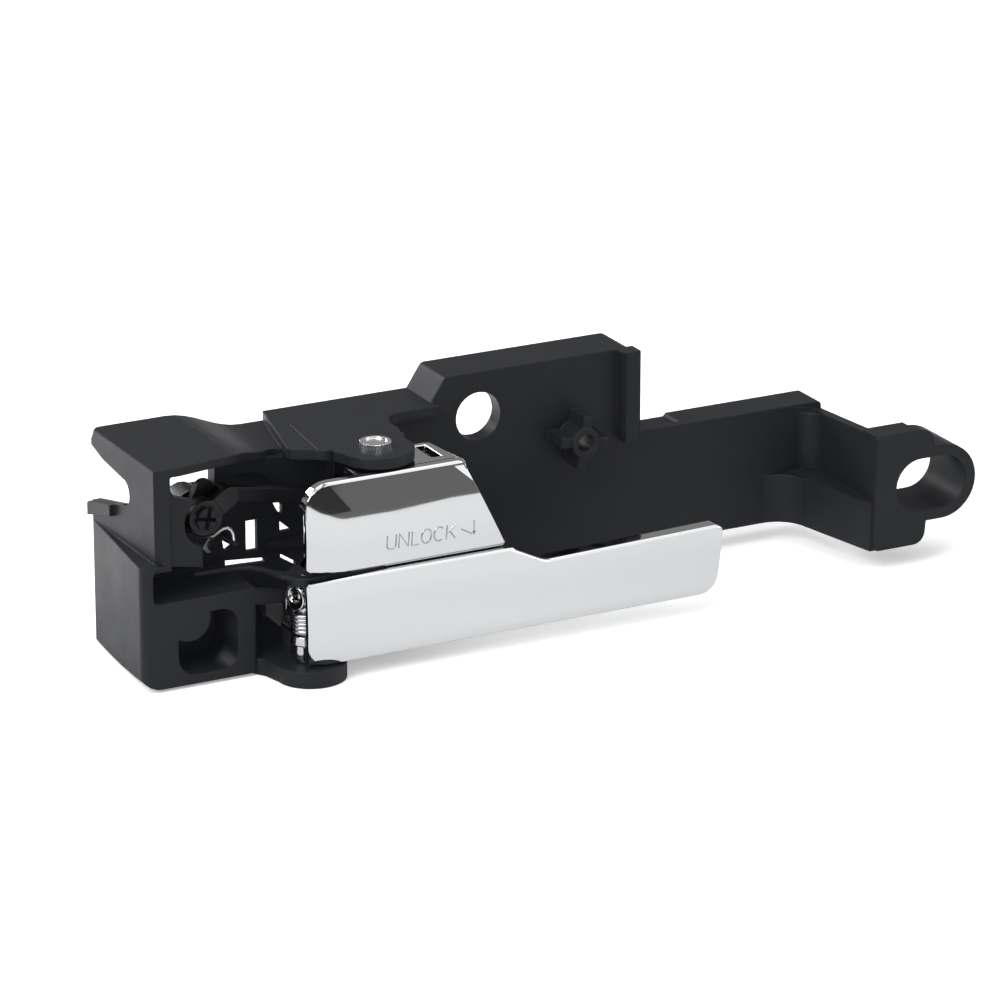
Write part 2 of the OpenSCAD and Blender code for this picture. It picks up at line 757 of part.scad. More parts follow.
// Arm with the eye for the release cable and the tongue that meets the stop
arm_z = coil_z + coil_h + 0.6;
stop_x = block_w + 5.3;
stop_y = 3;
stop_t = 4;
module release_arm() {
    slab_z(arm_z, arm_z + 3)
        difference() {
            union() {
                polygon([release_at + [-2, 2], release_at + [3.7, 0.5], cable_at + [2.5, -2.3],
                    cable_at + [-2.5, 1.5]]);
                translate(cable_at)
                    circle(cable_eye_r);
            }
            translate(cable_at)
                circle(1.6);
        }
    slab_z(arm_z - 4.6, arm_z + eps)
        polygon([[stop_x + 6.2, 2.6], [stop_x + 7.9, 2.6], [47, -2], [49.4, 3], [stop_x + 7.9, 7.4],
            [stop_x + 6.2, 7.4]]);
}

// Front view of the lock lever
lock_outline = [[41.2, lock_bottom + 1.3, 1.5], [56, lock_bottom - 0.85, 12], [106.4, lock_bottom - 0.85, 1],
    [92.6, lock_top, 1.4], [41.2, lock_top, 8]];
lock_foot = lock_bottom + 1;

module lock_lever() {
    color("gainsboro")
        difference() {
            union() {
                difference() {
                    lever_shell(lock_outline, lock_y, lock_rim, 42, 90);
                    // The left rim is cut away under the link
                    translate([39, lock_y + shell, lock_bottom + 2.8])
                        cube([4.6, lock_rim, lock_top - lock_bottom - 10]);
                }
                // Webs that join the face to the boss on the pin
                for (z = [lock_foot, lock_top - 2.6])
                    slab_z(z, z + 2.2)
                        lock_web();
                bar_z(lock_at, knuckle_r, lock_foot, lock_coil_z - 0.4);
                // Rear arm with the post that the link hooks over
                slab_z(link_z - link_eye_h / 2 - seat_gap - arm_t, link_z - link_eye_h / 2 - seat_gap)
                    crank_arm_shape(lock_at, post_at, 2.8);
                bar_z(post_at, post_r, link_z - link_eye_h, link_z + link_eye_h / 2 + 0.6);
            }
            bar_z(lock_at, pin_r + pin_clear, 20, 70);
        }
}

module lock_web() {
    difference() {
        union() {
            polygon([[62.2, lock_y + shell], [94, lock_y + shell], [92, 6.6], [90, 7.6], [76, 7.6], [62.2, 2.4]]);
            translate(lock_at)
                circle(knuckle_r + 1);
        }
        translate([86.4, -5.6])
            square([3.2, 11]);
    }
}

// The lock pin with its serrated head
module lock_pin() {
    teeth = 30;
    head_h = 1.8;
    color("lightsteelblue")
        difference() {
            union() {
                bar_z(lock_at, pin_r, shelf_z - 2, deck_z + eps);
                translate([lock_at[0], lock_at[1], deck_z])
                    linear_extrude(head_h)
                        polygon([for (i = [0:2 * teeth - 1])
                            (head_d / 2 - (i % 2) * 0.28) * [cos(180 * i / teeth), sin(180 * i / teeth)]]);
            }
            bar_z(lock_at, head_d / 2 - 1.2, deck_z + head_h - 0.5, deck_z + head_h + 1);
        }
}

module release_pin() {
    color("lightsteelblue") {
        bar_z(release_at, pin_r, seat_gap, shelf_top);
        bar_z(release_at, pin_head_r, seat_gap, pin_head_z);
    }
}

// Points of a torsion coil about Z, wound anticlockwise from its left side
function coil(at, turns, low, rise, steps = 24) =
    [for (i = [0:steps * turns])
        let (a = 180 + 360 * i / steps)
        [at[0] + spring_r * cos(a), at[1] + spring_r * sin(a), low + rise * i / (steps * turns)]];

// Torsion spring between the two knuckles, with a leg on the post and a leg on the lever
module release_spring() {
    turns = 4.25;
    helix = coil(release_at, turns, coil_z + spring_wire / 2, coil_h - spring_wire);
    first = helix[0];
    last = helix[len(helix) - 1];
    reach = release_y + shell + seat_gap + spring_wire / 2;
    path = concat(
        [for (k = [4:-1:1]) first + [0, 1.75 * k, 0]],
        helix,
        [for (k = [1:4]) last + [2.2 * k, (reach - last[1]) * k / 4, 0]]);
    color("silver")
        wire(path, spring_wire / 2);
}

// Torsion spring of the lock lever, whose front leg lies under the ear
lock_coil_z = 49.6;
lock_coil_h = 7;
module lock_spring() {
    helix = coil(lock_at, 3.75, lock_coil_z + spring_wire / 2, lock_coil_h - spring_wire);
    first = helix[0];
    last = helix[len(helix) - 1];
    leg_z = lock_top - spring_wire / 2 - 0.1;
    leg_x = 60.6;
    reach = lock_y + lock_rim + seat_gap;
    path = concat(
        [for (k = [8:-1:1]) first + [-0.135 * k, 2.1 * k, 0]],
        helix,
        [last + [-3.6, 0, 0], last + [-7.2, -0.1, 0.1], [leg_x + 1, last[1] - 0.8, last[2] + 0.5],
            [leg_x + 0.1, last[1] - 2.4, leg_z - 1.5], [leg_x, last[1] - 4, leg_z - 0.2], [leg_x, last[1] - 6, leg_z],
            [leg_x, reach, leg_z]]);
    color("silver")
        wire(path, spring_wire / 2);
}

// Lock crank on the split stud
cable_arm = 6.6;
cable_arm_y = link_y + link_t + 0.4;
module lock_crank() {
    cable_eye = crank_at + cable_arm * [cos(62), sin(62)];
    color("darkslategray")
        difference() {
            union() {
                bar_y(crank_at, crank_r, crank_y, crank_y + 5);
                bar_y(crank_at, stud_d / 2 + 1.4, crank_y + 1, crank_back);
                slab_y(crank_y + 0.3, crank_y + 0.3 + arm_t)
                    crank_arm_shape(crank_at, crank_pin_at, 3);
                slab_y(cable_arm_y, cable_arm_y + arm_t)
                    crank_arm_shape(crank_at, cable_eye, 3.2);
                bar_y(crank_pin_at, post_r, crank_y + 1, link_y + link_t + 0.4);
            }
            bar_y(crank_at, stud_d / 2 + pin_clear, 0, 40);
            bar_y(cable_eye, 1.3, cable_arm_y + 1, cable_arm_y + arm_t + 1);
        }
}

module crank_arm_shape(from, to, r) {
    d = unit(to - from);
    translate(to)
        circle(r);
    polygon([from + r * left(d), from - r * left(d), to - r * left(d), to + r * left(d)]);
}

// Return spring round the crank's hub, whose front leg ends in a hook on the peg
module crank_spring() {
    steps = 16;
    turns = 7;
    r = stud_d / 2 + 1.4 + 0.35 + crank_wire / 2;
    from = cable_arm_y + arm_t + 0.3 + crank_wire / 2;
    to = crank_back + 0.3 - crank_wire / 2;
    hook = [[28.2, 7, 39.4], [28, 7, 41.3], [27.3, 7, 42.8], [26.2, 7, 43.5], [25, 7, 43.5], [23.4, 7, 42.8],
        [21.9, 7.3, 41.6], [20.6, 8.6, 41.15], [19.6, 11, 41.1], [18.9, 14, 41.1], [18.5, 15.8, 41.3]];
    path = concat(
        [for (p = hook) [p[0] - crank_at[0], p[2] - crank_at[1], -p[1]]],
        [for (i = [0:steps * turns])
            let (a = -105 - 360 * i / steps)
            [r * cos(a), r * sin(a), -from - (to - from) * i / (steps * turns)]]);
    color("gray")
        translate([crank_at[0], 0, crank_at[1]])
            rotate([90, 0, 0])
                wire(path, crank_wire / 2, 8);
}

// Link from the crank's pin to the post on the lock lever
module lock_link() {
    end = [post_at[0], link_z];
    color("black")
        difference() {
            union() {
                slab_y(link_y, link_y + link_t) {
                    crank_arm_shape(end, crank_pin_at, 2.1);
                    translate(crank_pin_at)
                        circle(2.8);
                }
                bar_z(post_at, post_r + link_play + 1.6, link_z - link_eye_h / 2, link_z + link_eye_h / 2);
            }
            bar_y(crank_pin_at, post_r + pin_clear, 0, 20);
            bar_z(post_at, post_r + link_play, link_z - 4, link_z + 4);
        }
}

// Rubber cap on the stop post that the release lever's arm closes on
module release_bumper() {
    color("black")
        difference() {
            slab_y(stop_y, stop_y + stop_t)
                polygon([[stop_x, 20.2], [stop_x, 15.9], [stop_x + 4.5, 11.7], [stop_x + 5.9, 12],
                    [stop_x + 5.6, 18.3]]);
            bar_y([stop_x + 2.3, 16.5], 1.2, stop_y + 1.2, stop_y + stop_t + 1);
        }
}

module placed() {
    translate(-hole_at)
        children();
}

placed() housing();
placed() release_lever();
placed() lock_lever();
placed() lock_pin();
placed() release_pin();
placed() release_spring();
placed() lock_spring();
placed() lock_crank();
placed() crank_spring();
placed() lock_link();
placed() release_bumper();
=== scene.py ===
import json
from math import acos, cos, degrees, pi, radians, sin, sqrt, tan

import bmesh
import bpy
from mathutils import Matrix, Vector
from mathutils.bvhtree import BVHTree


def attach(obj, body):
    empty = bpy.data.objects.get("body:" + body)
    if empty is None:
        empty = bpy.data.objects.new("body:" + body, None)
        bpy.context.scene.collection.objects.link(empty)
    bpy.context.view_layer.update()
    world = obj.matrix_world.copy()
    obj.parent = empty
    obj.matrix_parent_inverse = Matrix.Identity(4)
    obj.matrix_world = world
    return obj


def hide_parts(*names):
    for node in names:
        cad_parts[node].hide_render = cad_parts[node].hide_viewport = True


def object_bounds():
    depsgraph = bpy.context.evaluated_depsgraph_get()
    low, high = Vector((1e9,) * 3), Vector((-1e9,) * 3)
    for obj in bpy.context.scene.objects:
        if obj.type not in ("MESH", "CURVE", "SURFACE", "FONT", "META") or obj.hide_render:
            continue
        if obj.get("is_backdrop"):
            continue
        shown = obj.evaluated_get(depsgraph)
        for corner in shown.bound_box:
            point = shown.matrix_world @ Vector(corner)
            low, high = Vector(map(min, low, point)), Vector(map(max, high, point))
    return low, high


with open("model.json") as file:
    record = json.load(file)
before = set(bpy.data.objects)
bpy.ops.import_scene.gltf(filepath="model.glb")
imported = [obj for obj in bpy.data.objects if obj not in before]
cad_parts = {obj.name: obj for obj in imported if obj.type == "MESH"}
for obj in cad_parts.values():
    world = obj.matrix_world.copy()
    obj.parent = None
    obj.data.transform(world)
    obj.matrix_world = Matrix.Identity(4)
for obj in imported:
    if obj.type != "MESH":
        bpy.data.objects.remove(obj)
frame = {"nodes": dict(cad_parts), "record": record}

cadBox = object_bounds()
print("frame loaded")

# The sizes below are millimetres from the lower left front corner of the housing's block
blockCorner = Vector((-119, -28, -57))
mm = 0.001


def spot(x, y, z):
    return (Vector((x, y, z)) + blockCorner) * mm


def arcPoints(x, z, wide, high, start, end, count=10):
    turns = [radians(start + (end - start) * i / count) for i in range(count + 1)]
    return [(x + wide * cos(turn), z + high * sin(turn)) for turn in turns]


class Field:
    # A node's output that takes part in Python expressions
    def __init__(self, paint, socket):
        self.paint = paint
        self.socket = socket

    def math(self, operation, *values):
        return self.paint.node("ShaderNodeMath", {"operation": operation}, dict(enumerate(values)))

    def __add__(self, other):
        return self.math("ADD", self, other)

    def __radd__(self, other):
        return self.math("ADD", other, self)

    def __sub__(self, other):
        return self.math("SUBTRACT", self, other)

    def __rsub__(self, other):
        return self.math("SUBTRACT", other, self)

    def __mul__(self, other):
        return self.math("MULTIPLY", self, other)

    def __rmul__(self, other):
        return self.math("MULTIPLY", other, self)

    def __pow__(self, other):
        return self.math("POWER", self, other)


class Paint:
    # One material, or the world, and the ways to add nodes to it
    def __init__(self, name, kind=bpy.data.materials):
        self.made = kind.new(name)
        self.made.use_nodes = True
        self.nodes = self.made.node_tree.nodes
        self.links = self.made.node_tree.links
        self.nodes.clear()

    def node(self, kind, settings=None, inputs=None, output=0):
        made = self.nodes.new(kind)
        for key, value in (settings or {}).items():
            if key == "stops":
                while len(made.color_ramp.elements) < len(value):
                    made.color_ramp.elements.new(0.5)
                for element, (position, level) in zip(made.color_ramp.elements, value):
                    element.position = position
                    element.color = (level, level, level, 1)
            else:
                setattr(made, key, value)
        for key, value in (inputs or {}).items():
            if isinstance(value, Field):
                self.links.new(value.socket, made.inputs[key])
            else:
                made.inputs[key].default_value = value
        return Field(self, made.outputs[output])

    def place(self):
        return self.node("ShaderNodeTexCoord", output="Object")

    def stretched(self, where, scale):
        return self.node("ShaderNodeVectorMath", {"operation": "MULTIPLY"}, {0: where, 1: scale})

    def noise(self, where, scale=1.0, detail=2.0, roughness=0.5):
        inputs = {"Vector": where, "Scale": scale, "Detail": detail, "Roughness": roughness}
        return self.node("ShaderNodeTexNoise", None, inputs, "Fac")

    def steps(self, value, low, high):
        inputs = {"Value": value, "From Min": low, "From Max": high}
        return self.node("ShaderNodeMapRange", {"clamp": True}, inputs)

    def colours(self, factor, first, second):
        inputs = {0: factor, 6: (*first, 1), 7: (*second, 1)}
        return self.node("ShaderNodeMix", {"data_type": "RGBA"}, inputs, 2)

    def rounded(self, radius):
        return self.node("ShaderNodeBevel", {"samples": 6}, {"Radius": radius})

    def parts(self, vector):
        split = self.node("ShaderNodeSeparateXYZ", None, {0: vector})
        return [Field(self, end) for end in split.socket.node.outputs]

    def turned(self, vector, start, end):
        settings = {"vector_type": "NORMAL", "convert_from": start, "convert_to": end}
        return self.node("ShaderNodeVectorTransform", settings, {0: vector})

    def between(self, factor, first, second):
        return self.node("ShaderNodeMix", {"data_type": "VECTOR"}, {0: factor, 4: first, 5: second}, 1)

    def bump(self, height, distance, strength=1.0, normal=None):
        inputs = {"Height": height, "Distance": distance, "Strength": strength}
        if normal:
            inputs["Normal"] = normal
        return self.node("ShaderNodeBump", None, inputs)

    def surface(self, inputs):
        return self.close(self.node("ShaderNodeBsdfPrincipled", None, inputs, "BSDF"))

    def close(self, shader, end="ShaderNodeOutputMaterial"):
        self.links.new(shader.socket, self.nodes.new(end).inputs["Surface"])
        return self.made


housingLook = {
    "black": (0.0062, 0.0067, 0.0082),
    "worn": (0.016, 0.017, 0.019),
    # Painted light: a faint glow in the black that lifts it where it lies in shade
    "shade_lift_glow": (0.0032, 0.0035, 0.0044, 1),
    "roughness": 0.52,
    "spread": 0.16,
    "shine": 1.31,
    "edge": 0.0008,
    "flow": {"stretch": (18, 60, 90), "detail": 4.0, "roughness": 0.6},
    "cloud": 55,
    "grain": 3200,
    "scuff": {"scale": 420, "detail": 5.0, "roughness": 0.7, "ends": (0.6, 0.78)},
    "wear": {"scuff": 0.35, "flow": 0.12},
    "dulling": {"scuff": 0.08, "flow": 0.1},
    "relief": {"grain": 0.5, "cloud": 2.2, "flow": 1.4, "depth": 0.00006, "strength": 0.55},
}


def housingBlack():
    look = housingLook
    paint = Paint("housing_black")
    where = paint.place()
    flow = paint.noise(paint.stretched(where, look["flow"]["stretch"]), 1.0,
                       look["flow"]["detail"], look["flow"]["roughness"])
    cloud = paint.noise(where, look["cloud"], 3.0)
    grain = paint.noise(where, look["grain"], 1.5)
    marks, wear, dulling, relief = look["scuff"], look["wear"], look["dulling"], look["relief"]
    scuff = paint.noise(where, marks["scale"], marks["detail"], marks["roughness"])
    scuff = paint.steps(scuff, *marks["ends"])
    edged = paint.rounded(look["edge"])
    height = grain * relief["grain"] + cloud * relief["cloud"] + flow * relief["flow"]
    roughness = look["roughness"] + (cloud - 0.5) * look["spread"]
    worn = scuff * wear["scuff"] + flow * wear["flow"]
    return paint.surface({
        "Base Color": paint.colours(worn, look["black"], look["worn"]),
        "Roughness": roughness + scuff * dulling["scuff"] + (flow - 0.5) * dulling["flow"],
        "IOR": look["shine"],
        # The glow is painted light that lifts the shaded black
        "Emission Color": look["shade_lift_glow"],
        "Emission Strength": 1.0,
        "Normal": paint.bump(height, relief["depth"], relief["strength"], edged),
    })


# The two faces' middle heights and bulges, then what bends the reflections: the lock lever's lean, the hollow
# at its left and its upper corners, and the release lever's belly
chromeLook = {
    "tint": (0.59, 0.595, 0.6),
    "roughness": 0.05,
    "release": {"middle": 17, "bulge": 110},
    "lock": {"middle": 42, "bulge": 90},
    "parting": (31.55, 31.65),
    "front": (-13.3, -13.6),
    "hollow": {"depth": 0.085, "ends": (54, 41.5), "power": 1.5},
    "lean": {"most": 0.031, "loss": 0.016, "ends": (70, 88)},
    "corner": {"turn": 0.07, "x": 50.2, "z": 57.9, "slope": 0.82, "blur": 0.0006, "foot": (50.5, 51.5)},
    "gleam": {"lift": 0.45, "x": 89.4, "z": 58.7, "slope": 1.12, "blur": 0.0003},
    "belly": {"lift": -0.42, "ends": (9, 2.5)},
    "facing": (-0.925, -0.945),
    "wave": {"stretch": (22, 60, 60), "depth": 0.0001, "strength": 0.1},
    "haze": {"scale": 120, "colour": 0.06, "roughness": 0.03},
    "speck": {"scale": 1500, "ends": (0.68, 0.76), "colour": 0.2, "roughness": 0.1},
    "worn": (0.5, 0.5, 0.52),
}


def leverChrome():
    look = chromeLook
    paint = Paint("lever_chrome")
    where = paint.place()
    along, depth, up = paint.parts(where)

    def ramp(field, axis, ends):
        return paint.steps(field, *(spot(*[end * (k == axis) for k in range(3)])[axis] for end in ends))

    def bulging(lever):
        return (up - spot(0, 0, look[lever]["middle"]).z) * (1 / (look[lever]["bulge"] * mm))

    # Smooth normals for the two front faces, over the solids' flat strips
    rises = [bulging(lever) for lever in ("release", "lock")]
    lean = look["lean"]["most"] - ramp(along, 0, look["lean"]["ends"]) * look["lean"]["loss"]
    hollow = ramp(along, 0, look["hollow"]["ends"]) ** look["hollow"]["power"] * look["hollow"]["depth"]
    onLock = ramp(up, 2, look["parting"])
    rise = rises[0] + onLock * (rises[1] + lean - hollow - rises[0])
    corner = look["corner"]
    beside = spot(corner["x"], 0, 0).x - along + (spot(0, 0, corner["z"]).z - up) * corner["slope"]
    turn = paint.steps(beside, 0, corner["blur"]) * ramp(up, 2, corner["foot"]) * -corner["turn"]
    gleam, belly = look["gleam"], look["belly"]
    beyond = along - spot(gleam["x"], 0, 0).x + (up - spot(0, 0, gleam["z"]).z) * gleam["slope"]
    rise = rise + paint.steps(beyond, 0, gleam["blur"]) * onLock * gleam["lift"]
    rise = rise + ramp(up, 2, belly["ends"]) * belly["lift"]
    bent = paint.node("ShaderNodeCombineXYZ", None, {0: turn, 1: -1.0, 2: rise})
    flat = paint.turned(paint.node("ShaderNodeNewGeometry", output="True Normal"), "WORLD", "OBJECT")
    face = paint.steps(paint.parts(flat)[1], *look["facing"]) * ramp(depth, 1, look["front"])
    plain = paint.node("ShaderNodeNewGeometry", output="Normal")
    smooth = paint.between(face, plain, paint.turned(bent, "OBJECT", "WORLD"))

    hazing, specks, waves = look["haze"], look["speck"], look["wave"]
    wave = paint.noise(paint.stretched(where, waves["stretch"]), 1.0, 1.0)
    haze = paint.noise(where, hazing["scale"], 3.0)
    speck = paint.steps(paint.noise(where, specks["scale"]), *specks["ends"])
    roughness = look["roughness"] + (haze - 0.5) * hazing["roughness"] + speck * specks["roughness"]
    worn = speck * specks["colour"] + haze * hazing["colour"]
    return paint.surface({
        "Base Color": paint.colours(worn, look["tint"], look["worn"]),
        "Metallic": 1.0,
        "Roughness": roughness,
        "Normal": paint.bump(wave, waves["depth"], waves["strength"], smooth),
    })


# The strokes' darker chrome is painted shade
letterLook = {
    "bright": (0.5, 0.5, 0.51),
    "dull": (0.2, 0.2, 0.21),
    "cloud": 900,
    "roughness": 0.2,
    "spread": 0.12,
}


def letterChrome():
    # Duller, darker chrome in the raised strokes: painted shade that stands in for the dark reflections of
    # their sides
    look = letterLook
    paint = Paint("letter_chrome_painted_dark")
    cloud = paint.noise(paint.place(), look["cloud"])
    return paint.surface({
        "Base Color": paint.colours(cloud, look["bright"], look["dull"]),
        "Metallic": 1.0,
        "Roughness": look["roughness"] + cloud * look["spread"],
    })


pinLook = {
    "bright": (0.82, 0.82, 0.83),
    "stained": (0.55, 0.55, 0.56),
    "stain": {"scale": 700, "ends": (0.45, 0.75)},
    "turning": {"scale": 1800, "stretch": (1, 1, 5), "depth": 0.00005, "strength": 0.4},
    "roughness": 0.24,
    "spread": 0.3,
    "edge": 0.0003,
}


def pinSteel():
    look = pinLook
    turning = look["turning"]
    paint = Paint("pin_steel")
    where = paint.place()
    turned = paint.noise(paint.stretched(where, turning["stretch"]), turning["scale"])
    stain = paint.noise(where, look["stain"]["scale"], 3.0)
    stained = paint.steps(stain, *look["stain"]["ends"])
    return paint.surface({
        "Base Color": paint.colours(stained, look["bright"], look["stained"]),
        "Metallic": 1.0,
        "Roughness": look["roughness"] + (stain - 0.5) * look["spread"],
        "Normal": paint.bump(turned, turning["depth"], turning["strength"], paint.rounded(look["edge"])),
    })


springLook = {
    "bright": (0.5, 0.5, 0.51),
    "dull": (0.33, 0.33, 0.34),
    "drawn": {"scale": 2600, "depth": 0.00002, "strength": 0.3},
    "roughness": 0.13,
    "spread": 0.1,
}


def springSteel():
    look = springLook
    paint = Paint("spring_steel")
    drawn = paint.noise(paint.place(), look["drawn"]["scale"])
    return paint.surface({
        "Base Color": paint.colours(drawn, look["bright"], look["dull"]),
        "Metallic": 1.0,
        "Roughness": look["roughness"] + drawn * look["spread"],
        "Normal": paint.bump(drawn, look["drawn"]["depth"], look["drawn"]["strength"]),
    })


# The coil's bright colour is painted light for a wire that lies in shade
coilLook = {
    "bright": (0.95, 0.95, 0.95),
    "dull": (0.5, 0.5, 0.51),
    "rings": {"stretch": (900, 2600, 900), "depth": 0.00004, "strength": 0.5},
    "roughness": 0.3,
    "spread": 0.15,
}


def coilSteel():
    # Wire painted brighter than the other springs' steel, painted light that lifts it out of the shade under
    # the top wall, with fine rings from winding
    look = coilLook
    paint = Paint("coil_steel_painted_lit")
    rings = paint.noise(paint.stretched(paint.place(), look["rings"]["stretch"]))
    return paint.surface({
        "Base Color": paint.colours(rings, look["bright"], look["dull"]),
        "Metallic": 1.0,
        "Roughness": look["roughness"] + rings * look["spread"],
        "Normal": paint.bump(rings, look["rings"]["depth"], look["rings"]["strength"]),
    })


# Black plastic, set darker than the housing's black: painted shade that sinks the crank into the shade of the
# bay
crankLook = {
    "black": (0.004, 0.004, 0.005),
    "worn": (0.009, 0.009, 0.011),
    "cloud": 160,
    "grain": 2400,
    "roughness": 0.36,
    "spread": 0.14,
    "shine": 1.4,
    "relief": {"cloud": 2, "depth": 0.00004, "strength": 0.5},
    "edge": 0.0004,
}


def crankBlack():
    look = crankLook
    relief = look["relief"]
    paint = Paint("crank_black")
    where = paint.place()
    cloud = paint.noise(where, look["cloud"], 3.0)
    height = paint.noise(where, look["grain"], 1.0) + cloud * relief["cloud"]
    return paint.surface({
        "Base Color": paint.colours(cloud, look["black"], look["worn"]),
        "Roughness": look["roughness"] + cloud * look["spread"],
        "IOR": look["shine"],
        "Normal": paint.bump(height, relief["depth"], relief["strength"], paint.rounded(look["edge"])),
    })


bumperLook = {
    "dark": (0.035, 0.035, 0.036),
    "dusty": (0.075, 0.075, 0.077),
    "cloud": 300,
    "grain": {"scale": 3000, "depth": 0.00005, "strength": 0.6},
    "roughness": 0.7,
    "spread": 0.15,
    "edge": 0.0006,
}


def bumperRubber():
    look = bumperLook
    grain = look["grain"]
    paint = Paint("bumper_rubber")
    where = paint.place()
    cloud = paint.noise(where, look["cloud"], 3.0)
    rough = paint.noise(where, grain["scale"])
    return paint.surface({
        "Base Color": paint.colours(cloud, look["dark"], look["dusty"]),
        "Roughness": look["roughness"] + cloud * look["spread"],
        "Normal": paint.bump(rough, grain["depth"], grain["strength"], paint.rounded(look["edge"])),
    })


looks = {
    "housing_black": housingBlack(),
    "lever_chrome": leverChrome(),
    "letter_chrome_painted_dark": letterChrome(),
    "pin_steel": pinSteel(),
    "spring_steel": springSteel(),
    "coil_steel_painted_lit": coilSteel(),
    "crank_black": crankBlack(),
    "bumper_rubber": bumperRubber(),
}
print("materials made")


def nodeSlot(node):
    return next(part["material_slot"] for part in frame["record"]["subparts"] if part["node"] == node)


def nodeBody(node):
    bodies = frame["record"]["behaviour"]["bodies"]
    return next(name for name, nodes in bodies.items() if node in nodes)


def addPiece(name, mesh, body, slot, look=None):
    mesh.materials.clear()
    mesh.materials.append(looks[look or slot])
    piece = bpy.data.objects.new(name, mesh)
    bpy.context.scene.collection.objects.link(piece)
    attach(piece, body)
    return piece


# Where each lever's front face, its top rim and its foot begin, the radii of their edges, and how far off the
# solid a rounded point may lie
lockEdges = {
    "front": -12.5,
    "above": 50.0,
    "foot": 33.5,
    "rim": 0.9,
    "footRadius": 0.15,
    "radius": 0.4,
    "stray": 0.3,
}
releaseEdges = {
    "front": -13.5,
    "above": 25.0,
    "foot": 0.0,
    "rim": 1.2,
    "footRadius": 0.4,
    "radius": 0.4,
    "stray": 0.4,
}
# Lengths are millimetres, and turns are degrees between faces
solidClean = {"merge": 0.002, "flat": 0.4, "speck": 0.005}
sharpTurns = {"rim": 28, "rest": 40, "shown": 32, "stroke": 50}


def smoothMesh(form, name, turn):
    mesh = bpy.data.meshes.new(name)
    form.to_mesh(mesh)
    form.free()
    mesh.shade_smooth()
    mesh.set_sharp_from_angle(angle=radians(turn))
    return mesh


def roundEdges(form, radius, segments, chosen, turn):
    folded = [e for e in form.edges if len(e.link_faces) == 2 and e.calc_face_angle() > radians(turn)]
    bmesh.ops.bevel(form, geom=[edge for edge in folded if chosen(edge)], offset=radius * mm,
                    offset_type="OFFSET", segments=segments, profile=0.5, affect="EDGES",
                    clamp_overlap=False, loop_slide=True)


def roundLever(form, edges):
    # The top rim of the front face is rounded widest, then the face's foot, then all other sharp edges
    front = spot(0, edges["front"], 0).y
    low, high = (spot(0, 0, edges[end]).z for end in ("above", "foot"))

    def onFront(edge):
        return all(v.co.y < front for v in edge.verts)

    def onTop(edge):
        start, end = (v.co for v in edge.verts)
        return onFront(edge) and min(start.z, end.z) > low and abs(end.x - start.x) > abs(end.z - start.z)

    def atFoot(edge):
        return onFront(edge) and max(v.co.z for v in edge.verts) < high

    kept = form.edges.layers.int.new("rim")
    for edge in form.edges:
        edge[kept] = 1 if onTop(edge) else 2 if atFoot(edge) else 0
    solid = BVHTree.FromBMesh(form)
    roundEdges(form, edges["rim"], 4, lambda edge: edge[kept] == 1, sharpTurns["rim"])
    roundEdges(form, edges["footRadius"], 2, lambda edge: edge[kept] == 2, sharpTurns["rim"])
    roundEdges(form, edges["radius"], 3, lambda edge: edge[kept] == 0, sharpTurns["rest"])
    # Points that the rounding throws off at tight corners go back to the solid
    for vert in form.verts:
        near = solid.find_nearest(vert.co)[0]
        if (vert.co - near).length > edges["stray"] * mm:
            vert.co = near
    bmesh.ops.dissolve_degenerate(form, dist=solidClean["speck"] * mm, edges=form.edges)


def softened(name, node, edges=None, look=None):
    # A smooth copy that replaces a node's solid, with rounded edges if they are given
    form = bmesh.new()
    form.from_mesh(frame["nodes"][node].data)
    bmesh.ops.remove_doubles(form, verts=form.verts, dist=solidClean["merge"] * mm)
    flat = radians(solidClean["flat"])
    bmesh.ops.dissolve_limit(form, angle_limit=flat, verts=form.verts, edges=form.edges)
    if edges:
        roundLever(form, edges)
    mesh = smoothMesh(form, name, sharpTurns["shown"])
    piece = addPiece(name, mesh, nodeBody(node), nodeSlot(node), look)
    piece.modifiers.new("even", "WEIGHTED_NORMAL").keep_sharp = True
    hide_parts(node)


softened("lock_lever_shell", "lock_lever", lockEdges)
softened("release_lever_shell", "release_lever", releaseEdges)
softened("release_spring_wire", "release_spring")
softened("lock_spring_wire", "lock_spring")
softened("crank_spring_wire", "crank_spring", look="coil_steel_painted_lit")
for node in ("housing", "lock_pin", "release_pin", "lock_crank", "lock_link", "release_bumper"):
    frame["nodes"][node].material_slots[0].material = looks[nodeSlot(node)]
print("solids dressed")

# Two forms of the moulding: the full corner at the strip's end and the fillet in front of it
stripCorner = {
    "start": 226.6,
    "end": 238.5,
    "top": 43.5,
    "under": 40.9,
    "front": 28.02,
    "back": 40.0,
    "round": 1.5,
    "lip": 0.1,
}
legFillet = {
    "corner": (226.22, 28.0),
    "reach": 8.0,
    "towards": (0.2106, -0.9776),
    "depth": 0.3,
    "foot": 6.5,
    "ledge": 22.0,
}


def extruded(name, outline, place, low, high):
    # The outline's points go through place(point, level) at both levels
    form = bmesh.new()
    ends = []
    for level in (low, high):
        ends.append(form.faces.new([form.verts.new(place(point, level)) for point in outline]))
    bmesh.ops.bridge_loops(form, edges=[edge for face in ends for edge in face.edges])
    bmesh.ops.recalc_face_normals(form, faces=form.faces)
    addPiece(name, smoothMesh(form, name, sharpTurns["shown"]), nodeBody("housing"), nodeSlot("housing"))


def addStripCorner():
    size = stripCorner
    turn = size["round"]
    arc = arcPoints(size["end"] - turn, size["top"] - turn, turn, turn, 90, 0, 6)
    under = [(size["end"], size["under"]), (size["start"], size["top"] - size["lip"])]
    outline = [(size["start"], size["top"])] + arc + under
    extruded("strip_corner", outline, lambda at, y: spot(at[0], y, at[1]), size["front"], size["back"])


